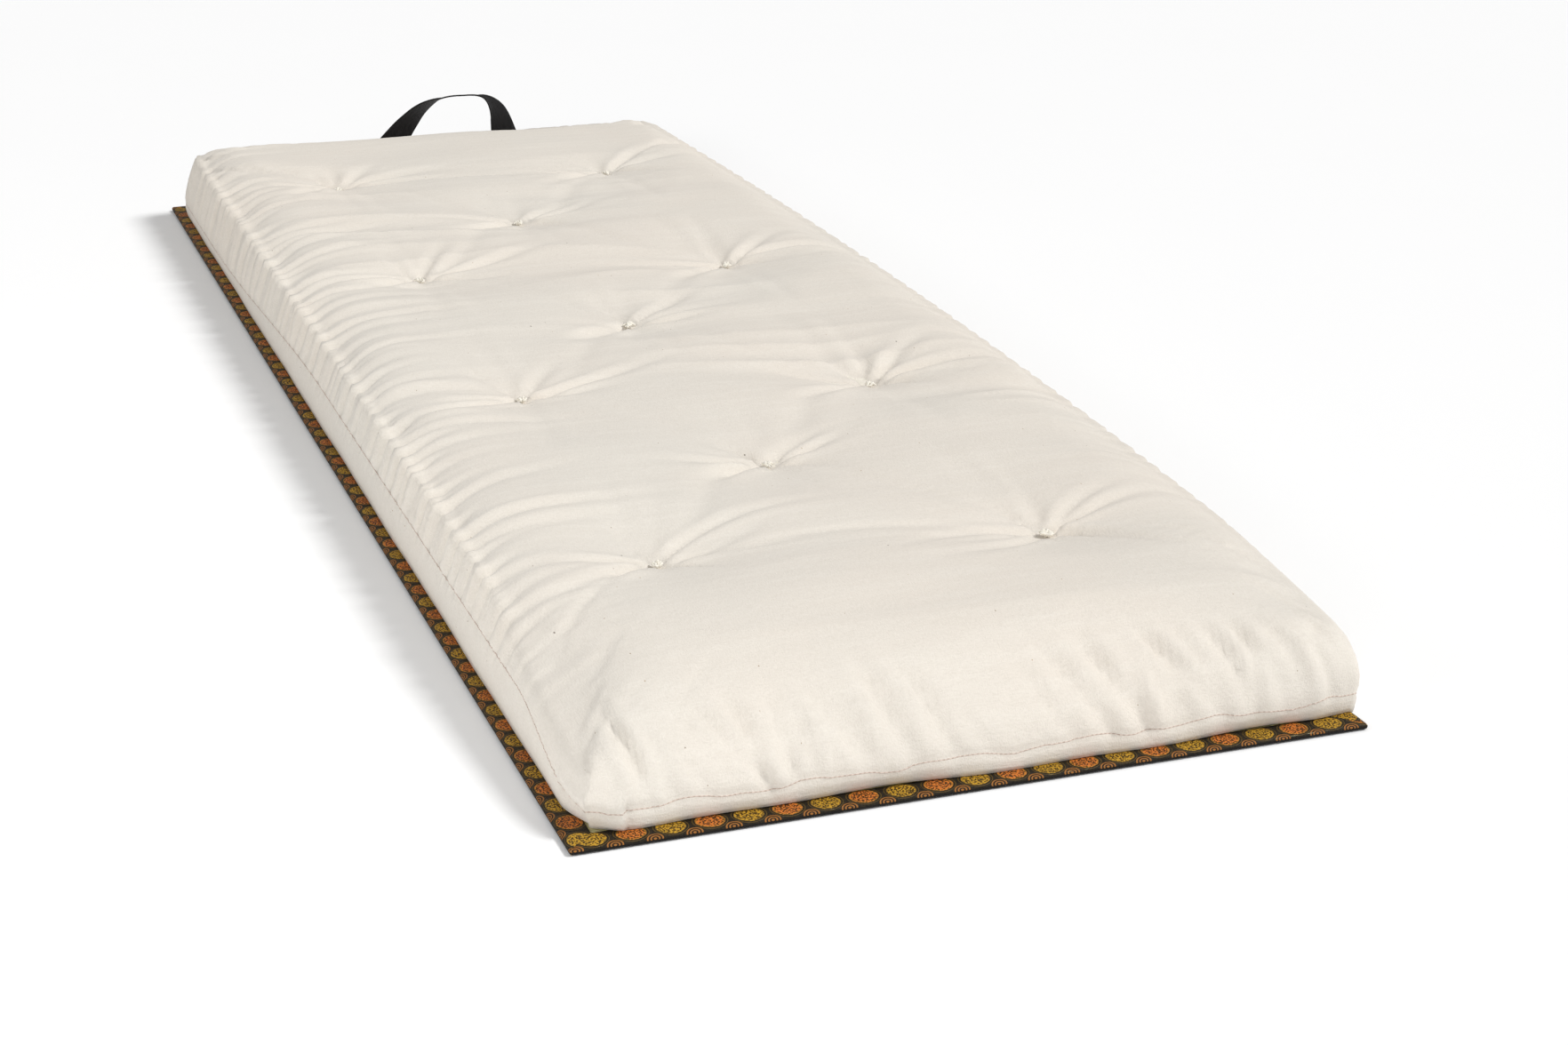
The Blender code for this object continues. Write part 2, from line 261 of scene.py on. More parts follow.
def linear(colour):
    """A colour given as 0 to 255 on a screen, as the renderer's own values."""
    values = [channel / 255 for channel in colour]
    return tuple(v / 12.92 if v <= 0.04045 else ((v + 0.055) / 1.055) ** 2.4 for v in values) + (1.0,)


def link_object(name, data):
    item = bpy.data.objects.new(name, data)
    bpy.context.scene.collection.objects.link(item)
    return item


# ---- materials


class Look:
    """A procedural material, with short calls that add its nodes."""

    def __init__(self, name, roughness, specular=0.5, sheen=0.0, subsurface=0.0):
        self.material = bpy.data.materials.new(name)
        self.material.use_nodes = True
        self.tree = self.material.node_tree
        self.shader = self.tree.nodes["Principled BSDF"]
        self.shader.inputs["Roughness"].default_value = roughness
        self.shader.inputs["Specular IOR Level"].default_value = specular
        self.shader.inputs["Sheen Weight"].default_value = sheen
        self.shader.inputs["Subsurface Weight"].default_value = subsurface
        self.place = self.add("ShaderNodeTexCoord", {}).outputs["Object"]

    def add(self, kind, inputs, **settings):
        node = self.tree.nodes.new(kind)
        for key, value in settings.items():
            setattr(node, key, value)
        for key, value in inputs.items():
            if isinstance(value, bpy.types.NodeSocket):
                self.tree.links.new(value, node.inputs[key])
            else:
                node.inputs[key].default_value = value
        return node

    def run(self):
        """Metres along a strip, and metres across it."""
        strip = self.add("ShaderNodeUVMap", {}, uv_map="run").outputs["UV"]
        split = self.add("ShaderNodeSeparateXYZ", {0: strip})
        return split.outputs[0], split.outputs[1]

    def math(self, operation, *values):
        return self.add("ShaderNodeMath", dict(enumerate(values)), operation=operation).outputs[0]

    def plus(self, first, second):
        return self.math("ADD", first, second)

    def minus(self, first, second):
        return self.math("SUBTRACT", first, second)

    def times(self, first, second):
        return self.math("MULTIPLY", first, second)

    def noise(self, scale, stretch=(1.0, 1.0, 1.0), detail=2.0):
        turned = self.add("ShaderNodeMapping", {"Vector": self.place, "Scale": stretch}).outputs[0]
        inputs = {"Vector": turned, "Scale": scale, "Detail": detail}
        return self.add("ShaderNodeTexNoise", inputs).outputs["Fac"]

    def ramp(self, value, low, high, bottom=0.0, top=1.0):
        inputs = {"Value": value, "From Min": low, "From Max": high, "To Min": bottom, "To Max": top}
        return self.add("ShaderNodeMapRange", inputs).outputs["Result"]

    def mix(self, share, *colours):
        """From the first colour to the second. A colour is a socket, or three values from 0 to 255."""
        first, second = (linear(colour) if isinstance(colour, tuple) else colour for colour in colours)
        return self.add("ShaderNodeMix", {0: share, 6: first, 7: second}, data_type="RGBA").outputs[2]

    def tint(self, colour, tone, value, low, high, share):
        """Lays tone over a colour, by up to share where the value is high."""
        return self.mix(self.ramp(value, low, high, 0.0, share), colour, tone)

    def wave(self, value, pitch):
        """From -1 to 1 and back over each pitch."""
        return self.math("SINE", self.times(value, 2 * math.pi / pitch))

    def finish(self, colour, height=None, distance=0.0, roughness=None):
        if height is not None:
            bump = self.add("ShaderNodeBump", {"Height": height, "Distance": distance, "Strength": 1.0})
            self.tree.links.new(bump.outputs[0], self.shader.inputs["Normal"])
        self.tree.links.new(colour, self.shader.inputs["Base Color"])
        if roughness is not None:
            self.tree.links.new(roughness, self.shader.inputs["Roughness"])
        return self.material


def weave_height(look, yarn):
    """Yarns running both ways, uneven in thickness."""
    return look.plus(look.noise(1 / yarn, (1.0, 0.22, 0.6)), look.noise(1 / yarn, (0.22, 1.0, 0.6)))


def flecks(look, spacing, size, share):
    """Short seed flecks: 1 on a fleck and 0 elsewhere, and a random value for each."""
    scale = (1 / spacing, 0.55 / spacing, 1 / spacing)
    scaled = look.add("ShaderNodeMapping", {"Vector": look.place, "Scale": scale})
    cells = look.add("ShaderNodeTexVoronoi", {"Vector": scaled.outputs[0], "Scale": 1.0})
    near = look.math("LESS_THAN", cells.outputs["Distance"], size / spacing)
    picked = look.add("ShaderNodeSeparateColor", {0: cells.outputs["Color"]})
    chosen = look.math("LESS_THAN", picked.outputs[0], share)
    return look.times(near, chosen), picked.outputs[1]


def cotton_look():
    look = Look("undyed_cotton", 0.9, 0.25, sheen=0.12)
    broad = look.noise(4.0, detail=3.0)
    slub = look.noise(90.0, (0.10, 1.0, 1.0))
    warm = look.mix(look.ramp(broad, 0.35, 0.65), (225, 219, 209), (228, 220, 209))
    warm = look.tint(warm, (235, 229, 219), slub, 0.45, 0.75, 0.35)
    weave = weave_height(look, 0.0011)
    warm = look.mix(look.ramp(weave, 0.75, 1.15, 0.30, 0.0), warm, (208, 200, 188))
    tan, tone = flecks(look, 0.013, 0.00055, 0.35)
    fleck = look.mix(tone, (120, 95, 66), (176, 150, 112))
    warm = look.mix(look.times(tan, 0.75), warm, fleck)
    dark, _ = flecks(look, 0.031, 0.0008, 0.4)
    warm = look.mix(look.times(dark, 0.7), warm, (96, 84, 70))
    rough = look.ramp(weave, 0.7, 1.2, 0.97, 0.84)
    height = look.plus(weave, look.times(slub, 0.6))
    return look.finish(warm, height, 0.00035, rough)


def seam_look():
    """Stitches along a tight roll of cloth."""
    look = Look("seam_stitching", 0.85, 0.3)
    along, _ = look.run()
    stitch = look.ramp(look.wave(along, 0.0042), -0.45, 0.1)
    uneven = look.noise(60.0)
    thread = look.mix(uneven, (212, 192, 180), (222, 208, 197))
    colour = look.mix(stitch, (196, 176, 163), thread)
    return look.finish(colour, stitch, 0.0004)


def batting_look():
    look = Look("cotton_batting", 1.0, 0.1, sheen=0.3)
    fluff = look.noise(160.0, detail=6.0)
    tufts = look.noise(22.0, (1.0, 0.6, 1.0), detail=3.0)
    colour = look.mix(fluff, (222, 214, 198), (245, 240, 229))
    colour = look.tint(colour, (205, 192, 168), tufts, 0.5, 0.8, 0.4)
    return look.finish(colour, look.plus(fluff, tufts), 0.002)


def foam_look():
    look = Look("foam", 0.85, 0.3, subsurface=0.05)
    pores = look.add("ShaderNodeTexVoronoi", {"Vector": look.place, "Scale": 650.0}).outputs["Distance"]
    uneven = look.noise(30.0)
    colour = look.mix(look.ramp(pores, 0.1, 0.5), (196, 176, 120), (238, 224, 176))
    colour = look.tint(colour, (226, 208, 150), uneven, 0.3, 0.7, 0.2)
    return look.finish(colour, pores, 0.0008)


def thread_look():
    look = Look("tuft_thread", 0.7, 0.35, sheen=0.2)
    plies = look.noise(1400.0, (1.0, 1.0, 0.4))
    shade = look.noise(300.0)
    colour = look.mix(plies, (226, 219, 204), (246, 243, 234))
    colour = look.tint(colour, (230, 223, 206), shade, 0.5, 0.8, 0.4)
    return look.finish(colour, plies, 0.00015)


def webbing_look():
    """Black woven webbing: chevron ribs between bound edges."""
    look = Look("webbing", 0.7, 0.25)
    along, across = look.run()
    middle = look.math("ABSOLUTE", across)
    folded = look.math("PINGPONG", middle, 0.0048)
    rib = look.wave(look.plus(along, folded), 0.0019)
    edge = look.ramp(middle, 0.0170, 0.0178)
    cross = look.wave(along, 0.0013)
    weave = look.plus(look.times(rib, look.minus(1.0, edge)), look.times(cross, edge))
    # Pale grey specks over the black: stray pale fibres, and painted highlights where the fibres glint
    fibre_and_glint = look.noise(1500.0)
    colour = look.mix(look.ramp(weave, -1.0, 1.0), (8, 7, 8), (26, 23, 24))
    colour = look.tint(colour, (120, 116, 120), fibre_and_glint, 0.62, 0.80, 0.5)
    rough = look.ramp(weave, -1.0, 1.0, 0.75, 0.48)
    return look.finish(colour, weave, 0.00035, rough)


def rush_look():
    """Fine rush stalks across the mat, bound by lengthwise warp threads."""
    look = Look("rush", 0.55, 0.4)
    axes = look.add("ShaderNodeSeparateXYZ", {0: look.place})
    wander = look.times(look.noise(9.0), 0.004)
    stalk = look.wave(look.plus(axes.outputs[1], wander), 0.0021)
    warp = look.ramp(look.wave(axes.outputs[0], RIB_PITCH), 0.90, 1.0)
    streak = look.noise(260.0, (0.04, 1.0, 1.0), detail=4.0)
    aged = look.noise(5.0, (0.4, 1.0, 1.0), detail=3.0)
    colour = look.mix(look.ramp(streak, 0.3, 0.7), (222, 210, 146), (246, 238, 190))
    colour = look.tint(colour, (214, 210, 150), aged, 0.45, 0.75, 0.35)
    colour = look.mix(look.ramp(stalk, -1.0, -0.4, 0.45, 0.0), colour, (150, 138, 84))
    colour = look.mix(look.times(warp, 0.35), colour, (168, 156, 104))
    height = look.minus(stalk, look.times(warp, 1.4))
    return look.finish(colour, height, 0.0004, look.ramp(streak, 0.2, 0.8, 0.66, 0.46))


def fibre_look():
    look = Look("mat_fibre", 0.95, 0.15)
    straw = look.noise(240.0, (0.12, 1.0, 1.0), detail=4.0)
    chips = look.noise(70.0, detail=3.0)
    colour = look.mix(straw, (142, 116, 74), (206, 182, 128))
    colour = look.tint(colour, (120, 96, 62), chips, 0.5, 0.7, 0.5)
    return look.finish(colour, straw, 0.001)


def backing_look():
    look = Look("mat_backing_cloth", 0.9, 0.2)
    weave = weave_height(look, 0.0018)
    worn = look.noise(12.0, detail=4.0)
    colour = look.mix(look.ramp(weave, 0.7, 1.2), (52, 48, 42), (96, 90, 80))
    colour = look.tint(colour, (118, 110, 96), worn, 0.5, 0.8, 0.3)
    return look.finish(colour, weave, 0.0006)


def oval(look, *axes):
    """Distance from an oval's middle, 1 on its edge. Each axis is a place along it and the oval's reach."""
    shares = (look.math("ABSOLUTE", look.math("DIVIDE", place, reach)) for place, reach in axes)
    return look.math("SQRT", look.plus(*[look.math("POWER", share, 2.0) for share in shares]))


def from_middle(look, along, shift):
    """Metres along from the middle of the nearest repeat of the pattern, and the repeat's number."""
    turns = look.plus(look.math("DIVIDE", along, DISC_PITCH), shift)
    share = look.minus(look.math("FRACT", turns), 0.5)
    return look.times(share, DISC_PITCH), look.math("FLOOR", turns)


def brocade_look():
    """A dark woven ground with a row of discs, gold and rust in turn, and small fans between them."""
    look = Look("brocade_tape", 0.7, 0.18)
    along, across = look.run()
    offset, number = from_middle(look, along, -0.14)
    to_disc = oval(look, (offset, 0.0120), (look.minus(across, 0.0122), 0.0106))
    grain = look.noise(620.0, detail=0.0)
    rings = look.wave(to_disc, 0.17)
    dots = look.ramp(look.plus(grain, look.times(rings, 0.05)), 0.45, 0.54)
    odd = look.math("ROUND", look.math("FRACT", look.times(number, 0.5)))
    disc = look.mix(odd, (190, 146, 44), (205, 118, 48))
    disc = look.mix(look.ramp(dots, 0.0, 1.0, 0.95, 0.0), disc, (52, 38, 16))
    rim = look.math("COMPARE", to_disc, 0.93, 0.07)
    disc = look.mix(look.times(rim, 0.35), disc, (170, 130, 44))
    beside, _ = from_middle(look, along, 0.36)
    to_fan = oval(look, (beside, 0.0068), (look.minus(across, -0.0010), 0.0060))
    ribs = look.ramp(look.wave(to_fan, 0.40), -0.2, 0.4)
    fan = look.mix(ribs, (34, 25, 14), (150, 98, 44))
    scroll = look.math("COMPARE", to_disc, 1.16, 0.03)
    yarn = look.noise(900.0, (1.0, 1.0, 0.3))
    ground = look.mix(look.ramp(yarn, 0.35, 0.7), (24, 19, 12), (46, 38, 24))
    colour = look.mix(look.times(scroll, 0.45), ground, (124, 98, 40))
    colour = look.mix(look.math("LESS_THAN", to_fan, 1.0), colour, fan)
    in_disc = look.math("LESS_THAN", to_disc, 1.0)
    colour = look.mix(in_disc, colour, disc)
    # Painted shade: the lower half of the rounded outer edge, and the foot under it, are painted nearly black,
    # darker than the ground
    colour = look.mix(look.math("LESS_THAN", across, -0.0022), colour, (16, 13, 9))
    height = look.plus(look.times(in_disc, look.plus(dots, 0.6)), yarn)
    return look.finish(colour, height, 0.00035, look.ramp(yarn, 0.3, 0.7, 0.7, 0.45))


# ---- meshes


def mesh_object(name, points, faces, look, runs=None):
    """A smooth-shaded mesh, with metres along and across it as its UV map where they are given."""
    mesh = bpy.data.meshes.new(name)
    mesh.from_pydata([tuple(point) for point in points], [], [tuple(face) for face in faces])
    bm = bmesh.new()
    bm.from_mesh(mesh)
    bmesh.ops.recalc_face_normals(bm, faces=bm.faces)
    bm.to_mesh(mesh)
    bm.free()
    if runs is not None:
        corners = np.empty(len(mesh.loops), dtype=np.int32)
        mesh.loops.foreach_get("vertex_index", corners)
        layer = mesh.uv_layers.new(name="run")
        layer.data.foreach_set("uv", np.asarray(runs)[corners].astype(np.float32).ravel())
    mesh.shade_smooth()
    if look is not None:
        mesh.materials.append(look)
    return link_object(name, mesh)


def rim_of(index):
    """The outer points of a grid, once round."""
    return np.concatenate([index[:-1, 0], index[-1, :-1], index[:0:-1, -1], index[0, :0:-1]])


def cells_of(index):
    """The four corners of each cell of a grid."""
    return np.stack([index[:-1, :-1], index[1:, :-1], index[1:, 1:], index[:-1, 1:]], axis=-1).reshape(-1, 4)


def slab_faces(shape):
    """The faces of a closed slab: two grids of points, one over the other, and the sides between them."""
    index = np.arange(shape[0] * shape[1]).reshape(shape)
    cells, ring = cells_of(index), rim_of(index)
    after = np.roll(ring, -1)
    side = np.stack([ring, ring + index.size, after + index.size, after], axis=-1)
    return np.concatenate([cells, cells + index.size, side]).tolist()


def sweep(sections, ring=False):
    """Points and faces of a skin over closed sections, capped at both ends unless it is a ring."""
    count, size = sections.shape[:2]
    index = np.arange(count * size).reshape(count, size)
    after = np.roll(index, -1, axis=0) if ring else index[1:]
    here = index if ring else index[:-1]
    sides = np.stack([here, np.roll(here, -1, axis=1), np.roll(after, -1, axis=1), after], axis=-1)
    faces = sides.reshape(-1, 4).tolist()
    if not ring:
        faces += [index[0].tolist(), index[-1].tolist()]
    return sections.reshape(-1, 3), faces


def round_sections(path, radius, sides, ring=False):
    ahead = np.roll(path, -1, axis=0) - np.roll(path, 1, axis=0) if ring else np.gradient(path, axis=0)
    ahead = unit(ahead)
    side = unit(np.cross(ahead, np.array([0.05, 0.08, 1.0])))
    up = np.cross(side, ahead)
    angle = np.linspace(0, 2 * math.pi, sides, endpoint=False)[None, :, None]
    return path[:, None] + radius * (np.cos(angle) * side[:, None] + np.sin(angle) * up[:, None])


def lengths_along(path):
    steps = np.linalg.norm(np.diff(path, axis=0), axis=1)
    return np.concatenate([[0.0], np.cumsum(steps)])


# ---- the mattress form


def half_width(v):
    return END_WIDTH / 2 + SIDE_SWELL * (1 - v * v)


def from_side(u, v):
    return (1 - np.abs(u)) * half_width(v)


def from_end(v):
    return (1 - np.abs(v)) * HALF_LENGTH


def near_roll(u, v):
    """How round the top edge is: 1 at the near end, less at its right corner, and 0 further back."""
    return smooth(1 - (1 + v) * HALF_LENGTH / NEAR_ROLL) * (1 - 0.68 * smooth((u - 0.3) / 0.7))


def plan_points(u, v, inset):
    """The places in plan of points of the mattress, pulled in by inset at its rim."""
    x = END_CENTRE_X + SIDE_BOW * (1 - v * v) - TUFT_SHIFT * (1 - u * u) + u * half_width(v)
    y = CENTRE_Y + v * HALF_LENGTH - TUFT_SKEW * u * (1 - v**4)
    near_side = clamp(1 - from_side(u, v) / CORNER_RADIUS)
    near_end = clamp(1 - from_end(v) / CORNER_RADIUS)
    corner = CORNER_RADIUS * CORNER_PULL * near_side * near_end
    x_pull = corner + inset * clamp(1 - from_side(u, v) / SIDE_REACH)
    y_pull = corner + inset * clamp(1 - from_end(v) / SIDE_REACH)
    return x - np.sign(u) * x_pull, y - np.sign(v) * y_pull


def rim_inset(z):
    above = TOP_INSET * clamp((z - WIDEST_Z) / (EDGE_TOP - WIDEST_Z)) ** 1.5
    below = BOTTOM_INSET * clamp((WIDEST_Z - z) / (WIDEST_Z - EDGE_BOTTOM)) ** 2
    return above + below


def seam_height(u, v):
    """Low and a little wavy along both ends, and halfway up the long sides except towards the far end."""
    rise = smooth((1 + v) / 0.17) * (1 - smooth((v + 0.05) / 0.75))
    wave = np.sin(19 * u + 2.6) + 0.5 * np.sin(43 * u + 1.0)
    at_end = (np.abs(v) > AT_RIM) * smooth((1 - np.abs(u)) / 0.08)
    return SEAM_Z_ENDS + (SEAM_Z_SIDES - SEAM_Z_ENDS) * rise + SEAM_WAVE * wave * at_end


def tuft_centres():
    """The middle of each tuft knot on the top, from the CAD."""
    centres = []
    for name in sorted(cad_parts):
        if name.startswith("tuft_top_"):
            low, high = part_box(name)
            centres.append((low + high) / 2)
    return centres


TUFTS = tuft_centres()


def tuft_pull(x, y):
    """From 0 to 1, how far each place is drawn down by the nearest tuft."""
    pull = np.zeros_like(x)
    for centre in TUFTS:
        reach = np.hypot(x - centre.x, y - centre.y)
        pull = np.maximum(pull, 0.45 * np.exp(-reach / 0.018) + 0.55 * np.exp(-reach / 0.075))
    return pull


def rim_rise(u, v, reach):
    side, end = 1 - clamp(from_side(u, v) / reach), 1 - clamp(from_end(v) / reach)
    low = np.minimum(1.0, (side**4 + end**4) ** 0.25)
    return 1 - low ** (1.8 + 1.2 * near_roll(u, v))


def top_height(u, v, x, y):
    rise = rim_rise(u, v, CROWN_REACH * (1 + 0.6 * near_roll(u, v)))
    edge = EDGE_TOP + (NEAR_EDGE_TOP - EDGE_TOP) * near_roll(u, v)
    crown = CROWN_TOP - FAR_DROP * smooth(1 - (1 - v) * HALF_LENGTH / 0.25)
    return edge + (crown - edge) * rise - TUFT_DEPTH * tuft_pull(x, y) * rise


# ---- the cover's mesh


class CoverGrid:
    """The cover as a grid on top and rings of points down the sides, each with its u, v and level.

    Level is 0 on the top and at its rim, 1 at the seam and 2 at the lower rim.
    """

    def __init__(self, cells_u, cells_v, rows_above, rows_below):
        self.cells_u, self.cells_v = cells_u, cells_v
        self.levels = [row / rows_above for row in range(1, rows_above + 1)]
        self.levels += [1 + row / rows_below for row in range(1, rows_below + 1)]
        u_line = np.linspace(-1, 1, cells_u + 1)
        u_line = u_line + CELL_CROWDING * np.sin(math.pi * u_line) / math.pi
        v_line = np.linspace(-1, 1, cells_v + 1)
        top_u, top_v = np.meshgrid(u_line, v_line, indexing="ij")
        index = np.arange(top_u.size).reshape(top_u.shape)
        self.top_index = index
        ring, rows = rim_of(index), len(self.levels)
        self.u = np.concatenate([top_u.ravel(), np.tile(top_u.ravel()[ring], rows)])
        self.v = np.concatenate([top_v.ravel(), np.tile(top_v.ravel()[ring], rows)])
        self.level = np.concatenate([np.zeros(top_u.size), np.repeat(self.levels, len(ring))])
        self.on_side, self.on_end = np.abs(self.u) > AT_RIM, np.abs(self.v) > AT_RIM
        self.top_count = top_u.size
        below = [self.top_count + row * len(ring) + np.arange(len(ring)) for row in range(rows)]
        self.rings = np.array([ring] + below)

    def base_points(self):
        """The form without any folds."""
        x, y = plan_points(self.u, self.v, 0.0)
        rim_z = top_height(self.u, self.v, x, y)
        seam_z = seam_height(self.u, self.v)
        upper = rim_z + clamp(self.level) * (seam_z - rim_z)
        z = upper + clamp(self.level - 1) * (EDGE_BOTTOM - seam_z)
        x, y = plan_points(self.u, self.v, rim_inset(np.minimum(z, EDGE_TOP)))
        return np.stack([x, y, z], axis=1)

    def quads(self):
        upper, lower = self.rings[:-1], self.rings[1:]
        next_upper, next_lower = np.roll(upper, -1, axis=1), np.roll(lower, -1, axis=1)
        side = np.stack([upper, lower, next_lower, next_upper], axis=-1)
        return np.concatenate([cells_of(self.top_index), side.reshape(-1, 4)])

    def split(self, values):
        """Values on the points, as the top's grid and as four strips down the sides, corner to corner."""
        top = values[: self.top_count].reshape(self.cells_u + 1, self.cells_v + 1, -1)
        wrapped = np.concatenate([self.rings, self.rings[:, :1]], axis=1)
        strips, start = [], 0
        for count in (self.cells_u, self.cells_v, self.cells_u, self.cells_v):
            strips.append(values[wrapped[:, start : start + count + 1]])
            start += count
        return top, strips

    def gather(self, top, strips):
        sides = np.concatenate([strip[1:, :-1] for strip in strips], axis=1)
        return np.concatenate([top.reshape(self.top_count, -1), sides.reshape(-1, top.shape[-1])])


def spline_weights(old, new):
    """A matrix that takes values at old even places to new even places along a smooth curve."""
    place = np.linspace(0, old - 1, new)
    cell = np.minimum(place.astype(int), old - 2)
    t = place - cell
    weights = np.zeros((new, old))
    parts = (
        (-1, -0.5 * t + t**2 - 0.5 * t**3),
        (0, 1 - 2.5 * t**2 + 1.5 * t**3),
        (1, 0.5 * t + 2 * t**2 - 1.5 * t**3),
        (2, -0.5 * t**2 + 0.5 * t**3),
    )
    for shift, weight in parts:
        column = np.clip(cell + shift, 0, old - 1)
        np.add.at(weights, (np.arange(new), column), weight)
    return weights


def resample(values, rows, columns):
    down = spline_weights(values.shape[0], rows)
    across = spline_weights(values.shape[1], columns)
    return np.einsum("ai,bj,ijk->abk", down, across, values, optimize=True)


def carry(coarse, fine, values):
    """Moves values from a coarse cover grid to a fine one with other cell counts."""
    top, strips = coarse.split(values)
    top = resample(top, fine.cells_u + 1, fine.cells_v + 1)
    rows = len(fine.levels) + 1
    counts = (fine.cells_u, fine.cells_v, fine.cells_u, fine.cells_v)
    strips = [resample(strip, rows, count + 1) for strip, count in zip(strips, counts)]
    return fine.gather(top, strips)


# ---- cloth


def spare_cloth(grid, points):
    """The cut shape of the cover, a little larger than the form, most of all along the long sides."""
    rim = 1 - smooth(from_side(grid.u, grid.v) / 0.16)
    spare = SPARE_MIDDLE + (SPARE_RIM - SPARE_MIDDLE) * np.where(grid.level > 0, 1.0, rim)
    across = np.full_like(spare, SPARE_ACROSS)
    return points * (1 + np.stack([across, spare, across], axis=1))


def simulate_cover(grid):
    """Lets the cover swell and buckle between its tufts and its seam. Returns how each point moved."""
    points = grid.base_points()
    item = mesh_object("cover_cloth", points, grid.quads().tolist(), None)
    item.shape_key_add(name="Basis")
    cut = item.shape_key_add(name="Cut")
    cut.data.foreach_set("co", spare_cloth(grid, points).astype(np.float32).ravel())
    cut.value = 0.0
    held = item.vertex_groups.new(name="Held")
    held.add(np.nonzero(grid.level >= 1)[0].tolist(), 1.0, "REPLACE")
    for centre in TUFTS:
        reach = np.hypot(points[:, 0] - centre.x, points[:, 1] - centre.y)
        near = np.nonzero((reach < TUFT_HOLD) & (grid.level == 0))[0]
        near = near if len(near) else reach[: grid.top_count].argmin(keepdims=True)
        held.add(near.tolist(), 1.0, "REPLACE")
    cloth = item.modifiers.new("Cloth", "CLOTH")
    for setting, value in CLOTH_SETTINGS.items():
        setattr(cloth.settings, setting, value)
    cloth.settings.rest_shape_key = cut
    cloth.settings.effector_weights.gravity = 0.0
    cloth.collision_settings.use_collision = False
    scene = bpy.context.scene
    scene.frame_start, scene.frame_end = 1, CLOTH_FRAMES
    cloth.point_cache.frame_start, cloth.point_cache.frame_end = 1, CLOTH_FRAMES
    for step in range(1, CLOTH_FRAMES + 1):
        scene.frame_set(step)
    graph = bpy.context.evaluated_depsgraph_get()
    settled = item.evaluated_get(graph).to_mesh()
    found = np.empty(len(points) * 3)
    settled.vertices.foreach_get("co", found)
    item.evaluated_get(graph).to_mesh_clear()
    scene.frame_set(1)
    bpy.data.objects.remove(item, do_unlink=True)
    moved = found.reshape(-1, 3) - points
    size = np.linalg.norm(moved, axis=1, keepdims=True)
    return moved * np.minimum(1.0, CLOTH_CAP / np.maximum(size, 1e-9))


def bottom_points(grid):
    """A coarser grid under the mattress, flat but for the tufts, and its size."""
    columns = np.arange(0, grid.cells_u + 1, BOTTOM_STEP_U)
    rows = np.arange(0, grid.cells_v + 1, BOTTOM_STEP_V)
    chosen = grid.top_index[np.ix_(columns, rows)]
    u, v = grid.u[chosen], grid.v[chosen]
    x, y = plan_points(u, v, BOTTOM_INSET + BOTTOM_TURN)
    lift = np.zeros_like(x)
    for centre in TUFTS:
        lift = np.maximum(lift, np.exp(-np.hypot(x - centre.x, y - centre.y) / 0.028))
    points = np.stack([x, y, REST_Z + BOTTOM_TUFT_LIFT * lift * smooth(lift / 0.3)], axis=-1)
    return points.reshape(-1, 3), (len(columns), len(rows))


def closed_cover(grid, points):
    """The whole cover: the folded top and sides, and the underside."""
    under, (columns, rows) = bottom_points(grid)
    index = len(points) + np.arange(len(under)).reshape(columns, rows)
    faces = grid.quads().tolist() + cells_of(index)[:, [0, 3, 2, 1]].tolist()
    coarse = rim_of(index)
    steps = ([BOTTOM_STEP_U] * (columns - 1) + [BOTTOM_STEP_V] * (rows - 1)) * 2
    rim = grid.rings[-1]
    place = 0
    for number, step in enumerate(steps):
        here, there = int(coarse[number]), int(coarse[(number + 1) % len(coarse)])
        middle = step // 2
        for cell in range(step):
            low, high = int(rim[place % len(rim)]), int(rim[(place + 1) % len(rim)])
            faces.append([low, here if cell < middle else there, high])
            place += 1
            if cell == middle - 1:
                faces.append([high, here, there])
    return mesh_object("mattress_cover", np.concatenate([points, under]), faces, cotton_look())


# ---- folds


def outward(grid, points):
    """The outward direction at each point of the cover."""
    faces = grid.quads()
    corners = points[faces]
    across = np.cross(corners[:, 2] - corners[:, 0], corners[:, 3] - corners[:, 1])
    total = np.zeros_like(points)
    for corner in range(4):
        np.add.at(total, faces[:, corner], across)
    return unit(total)


def soften(grid, points, share, rounds):
    """Moves points towards the mean of their neighbours, by share."""
    faces = grid.quads()
    ends = np.concatenate([faces[:, [0, 1]], faces[:, [1, 2]], faces[:, [2, 3]], faces[:, [3, 0]]])
    count = np.bincount(ends[:, 0], minlength=len(points)) + np.bincount(ends[:, 1], minlength=len(points))
    for _ in range(rounds):
        total = np.zeros_like(points)
        np.add.at(total, ends[:, 0], points[ends[:, 1]])
        np.add.at(total, ends[:, 1], points[ends[:, 0]])
        points = points + share[:, None] * (total / count[:, None] - points)
    return points


def valley(offset, width, low=0.42, high=0.42):
    """A sharp valley between two shoulders, on its low side and on its high side."""
    across = np.abs(offset) / width
    return -np.exp(-across) + np.where(offset < 0, low, high) * np.exp(-((across - 1.9) ** 2) / 1.1)


